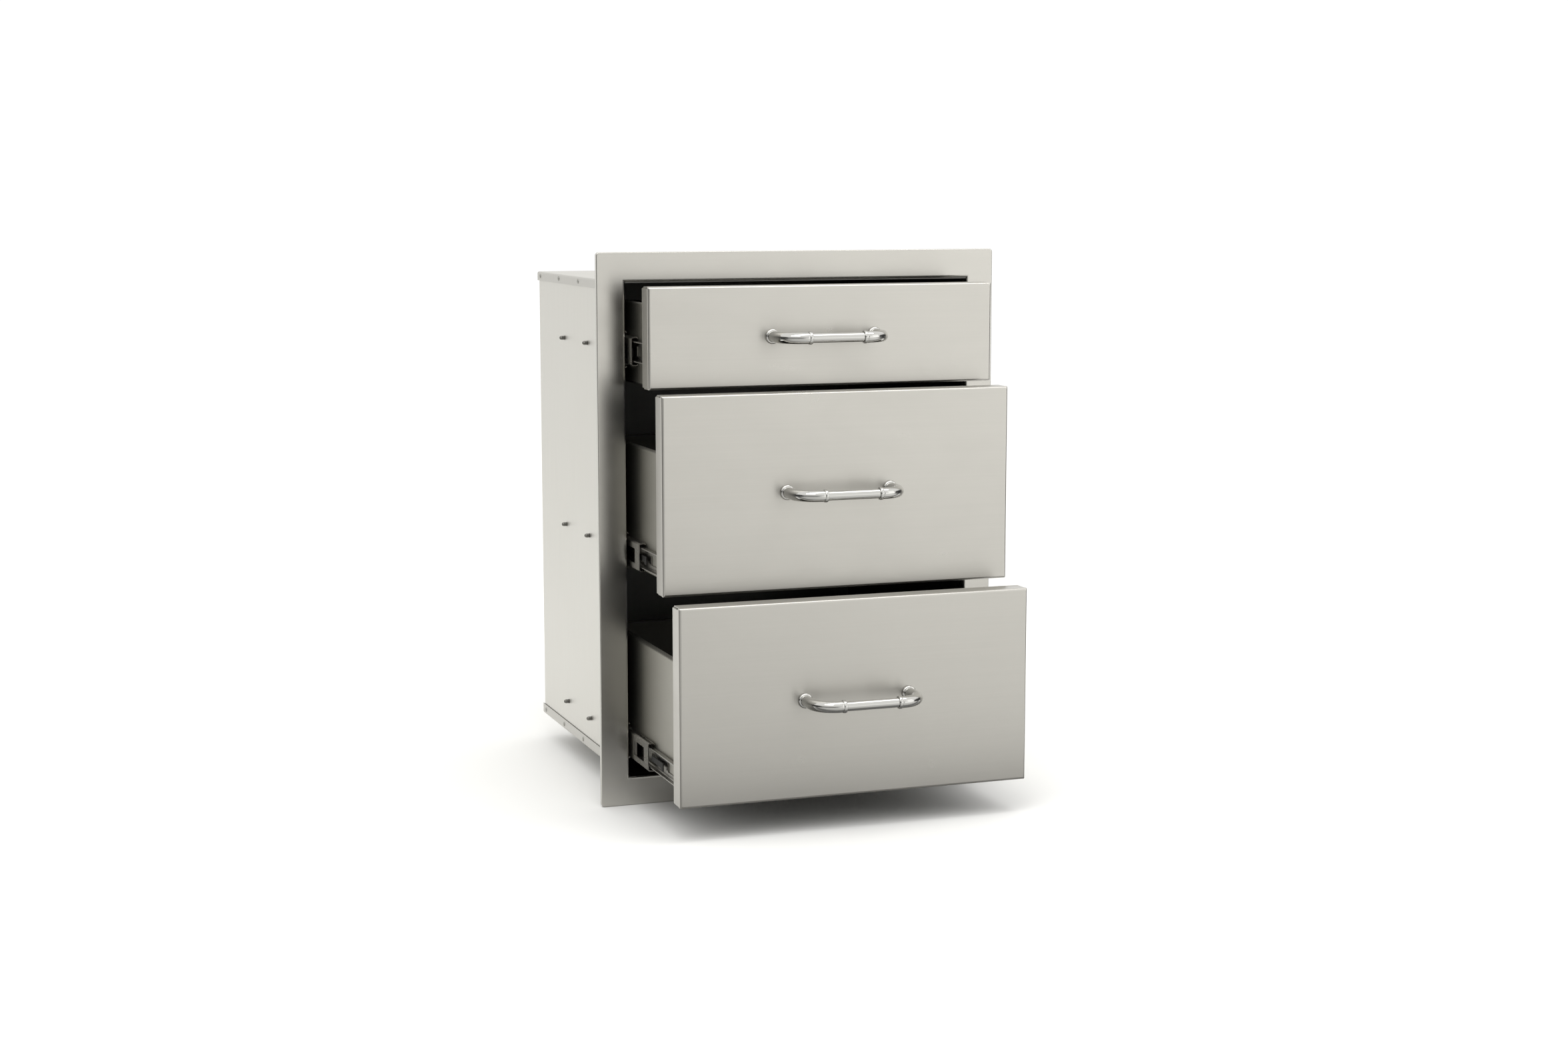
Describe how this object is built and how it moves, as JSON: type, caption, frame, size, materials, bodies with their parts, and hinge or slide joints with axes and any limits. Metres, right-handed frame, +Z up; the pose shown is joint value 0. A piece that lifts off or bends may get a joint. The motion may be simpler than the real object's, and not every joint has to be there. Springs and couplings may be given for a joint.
{
  "type": "outdoor kitchen drawer unit",
  "caption": "Built-in drawer unit for an outdoor kitchen: a flat face frame on a sheet-metal box, with stacked drawers on full-extension ball-bearing slides and arched tubular handles.",
  "frame": {"origin": "the middle of the face frame's bottom lip, on the plane of the lip's rear edge, which bears on the island's front", "axes": "+X to the right seen from the front, +Y from the face frame into the cabinet, +Z up"},
  "size_m": [0.521, 0.6707, 0.683],
  "materials": {
    "frame_steel": "stainless steel brushed along each stile and rail",
    "front_steel": "stainless steel with a horizontal brush grain",
    "box_steel": "pale mill finish, nearly matt",
    "tray_steel": "satin stainless steel sheet",
    "slide_zinc": "bright zinc plated rolled steel",
    "cage_steel": "plain pressed steel strip with polished balls",
    "chrome": "polished",
    "lever_plastic": "moulded, matt"
  },
  "bodies": {
    "cabinet": {"face_frame": "frame_steel", "side_panel_left": "box_steel", "side_panel_right": "box_steel", "top_panel": "box_steel", "bottom_panel": "box_steel", "back_panel": "box_steel", "slide_outer_top_left": "slide_zinc", "slide_outer_top_right": "slide_zinc", "slide_outer_middle_left": "slide_zinc", "slide_outer_middle_right": "slide_zinc", "slide_outer_bottom_left": "slide_zinc", "slide_outer_bottom_right": "slide_zinc"},
    "middle_top": {"slide_middle_top_left": "slide_zinc", "slide_middle_top_right": "slide_zinc"},
    "outer_cages_top": {"ball_cage_outer_top_left": "cage_steel", "ball_cage_outer_top_right": "cage_steel"},
    "inner_cages_top": {"ball_cage_inner_top_left": "cage_steel", "ball_cage_inner_top_right": "cage_steel"},
    "drawer_top": {"drawer_front_top": "front_steel", "front_backing_top": "tray_steel", "drawer_tray_top": "tray_steel", "slide_inner_top_left": "slide_zinc", "slide_inner_top_right": "slide_zinc", "handle_elbow_top_left": "chrome", "handle_elbow_top_right": "chrome", "handle_grip_top": "chrome"},
    "lever_top_left": {"release_lever_top_left": "lever_plastic"},
    "lever_top_right": {"release_lever_top_right": "lever_plastic"},
    "middle_middle": {"slide_middle_middle_left": "slide_zinc", "slide_middle_middle_right": "slide_zinc"},
    "outer_cages_middle": {"ball_cage_outer_middle_left": "cage_steel", "ball_cage_outer_middle_right": "cage_steel"},
    "inner_cages_middle": {"ball_cage_inner_middle_left": "cage_steel", "ball_cage_inner_middle_right": "cage_steel"},
    "drawer_middle": {"drawer_front_middle": "front_steel", "front_backing_middle": "tray_steel", "drawer_tray_middle": "tray_steel", "slide_inner_middle_left": "slide_zinc", "slide_inner_middle_right": "slide_zinc", "handle_elbow_middle_left": "chrome", "handle_elbow_middle_right": "chrome", "handle_grip_middle": "chrome"},
    "lever_middle_left": {"release_lever_middle_left": "lever_plastic"},
    "lever_middle_right": {"release_lever_middle_right": "lever_plastic"},
    "middle_bottom": {"slide_middle_bottom_left": "slide_zinc", "slide_middle_bottom_right": "slide_zinc"},
    "outer_cages_bottom": {"ball_cage_outer_bottom_left": "cage_steel", "ball_cage_outer_bottom_right": "cage_steel"},
    "inner_cages_bottom": {"ball_cage_inner_bottom_left": "cage_steel", "ball_cage_inner_bottom_right": "cage_steel"},
    "drawer_bottom": {"drawer_front_bottom": "front_steel", "front_backing_bottom": "tray_steel", "drawer_tray_bottom": "tray_steel", "slide_inner_bottom_left": "slide_zinc", "slide_inner_bottom_right": "slide_zinc", "handle_elbow_bottom_left": "chrome", "handle_elbow_bottom_right": "chrome", "handle_grip_bottom": "chrome"},
    "lever_bottom_left": {"release_lever_bottom_left": "lever_plastic"},
    "lever_bottom_right": {"release_lever_bottom_right": "lever_plastic"}
  },
  "joints": [
    {"name": "drawer_top_slide", "type": "slide", "parent": "cabinet", "child": "drawer_top", "axis": [0, -1, 0], "range_m": [-0.084, 0.296]},
    {"name": "middle_top_slide", "type": "slide", "parent": "cabinet", "child": "middle_top", "axis": [0, -1, 0], "range_m": [-0.042, 0.148]},
    {"name": "outer_cages_top_slide", "type": "slide", "parent": "cabinet", "child": "outer_cages_top", "axis": [0, -1, 0], "range_m": [-0.021, 0.074]},
    {"name": "inner_cages_top_slide", "type": "slide", "parent": "cabinet", "child": "inner_cages_top", "axis": [0, -1, 0], "range_m": [-0.063, 0.222]},
    {"name": "lever_top_left_pivot", "type": "hinge", "parent": "drawer_top", "child": "lever_top_left", "pos_m": [-0.2162, 0.0095, 0.56348], "axis": [-1, 0, 0], "range_deg": [0, 10]},
    {"name": "lever_top_right_pivot", "type": "hinge", "parent": "drawer_top", "child": "lever_top_right", "pos_m": [0.2162, 0.0095, 0.56348], "axis": [-1, 0, 0], "range_deg": [0, 10]},
    {"name": "drawer_middle_slide", "type": "slide", "parent": "cabinet", "child": "drawer_middle", "axis": [0, -1, 0], "range_m": [-0.1364, 0.2436]},
    {"name": "middle_middle_slide", "type": "slide", "parent": "cabinet", "child": "middle_middle", "axis": [0, -1, 0], "range_m": [-0.0682, 0.1218]},
    {"name": "outer_cages_middle_slide", "type": "slide", "parent": "cabinet", "child": "outer_cages_middle", "axis": [0, -1, 0], "range_m": [-0.0341, 0.0609]},
    {"name": "inner_cages_middle_slide", "type": "slide", "parent": "cabinet", "child": "inner_cages_middle", "axis": [0, -1, 0], "range_m": [-0.1023, 0.1827]},
    {"name": "lever_middle_left_pivot", "type": "hinge", "parent": "drawer_middle", "child": "lever_middle_left", "pos_m": [-0.2162, -0.0429, 0.31569], "axis": [-1, 0, 0], "range_deg": [0, 10]},
    {"name": "lever_middle_right_pivot", "type": "hinge", "parent": "drawer_middle", "child": "lever_middle_right", "pos_m": [0.2162, -0.0429, 0.31569], "axis": [-1, 0, 0], "range_deg": [0, 10]},
    {"name": "drawer_bottom_slide", "type": "slide", "parent": "cabinet", "child": "drawer_bottom", "axis": [0, -1, 0], "range_m": [-0.1988, 0.1812]},
    {"name": "middle_bottom_slide", "type": "slide", "parent": "cabinet", "child": "middle_bottom", "axis": [0, -1, 0], "range_m": [-0.0994, 0.0906]},
    {"name": "outer_cages_bottom_slide", "type": "slide", "parent": "cabinet", "child": "outer_cages_bottom", "axis": [0, -1, 0], "range_m": [-0.0497, 0.0453]},
    {"name": "inner_cages_bottom_slide", "type": "slide", "parent": "cabinet", "child": "inner_cages_bottom", "axis": [0, -1, 0], "range_m": [-0.1491, 0.1359]},
    {"name": "lever_bottom_left_pivot", "type": "hinge", "parent": "drawer_bottom", "child": "lever_bottom_left", "pos_m": [-0.2162, -0.1053, 0.0755], "axis": [-1, 0, 0], "range_deg": [0, 10]},
    {"name": "lever_bottom_right_pivot", "type": "hinge", "parent": "drawer_bottom", "child": "lever_bottom_right", "pos_m": [0.2162, -0.1053, 0.0755], "axis": [-1, 0, 0], "range_deg": [0, 10]}
  ],
  "couplings": [
    {"joint": "middle_top_slide", "follows": "drawer_top_slide", "ratio": 0.5},
    {"joint": "outer_cages_top_slide", "follows": "drawer_top_slide", "ratio": 0.25},
    {"joint": "inner_cages_top_slide", "follows": "drawer_top_slide", "ratio": 0.75},
    {"joint": "middle_middle_slide", "follows": "drawer_middle_slide", "ratio": 0.5},
    {"joint": "outer_cages_middle_slide", "follows": "drawer_middle_slide", "ratio": 0.25},
    {"joint": "inner_cages_middle_slide", "follows": "drawer_middle_slide", "ratio": 0.75},
    {"joint": "middle_bottom_slide", "follows": "drawer_bottom_slide", "ratio": 0.5},
    {"joint": "outer_cages_bottom_slide", "follows": "drawer_bottom_slide", "ratio": 0.25},
    {"joint": "inner_cages_bottom_slide", "follows": "drawer_bottom_slide", "ratio": 0.75}
  ]
}
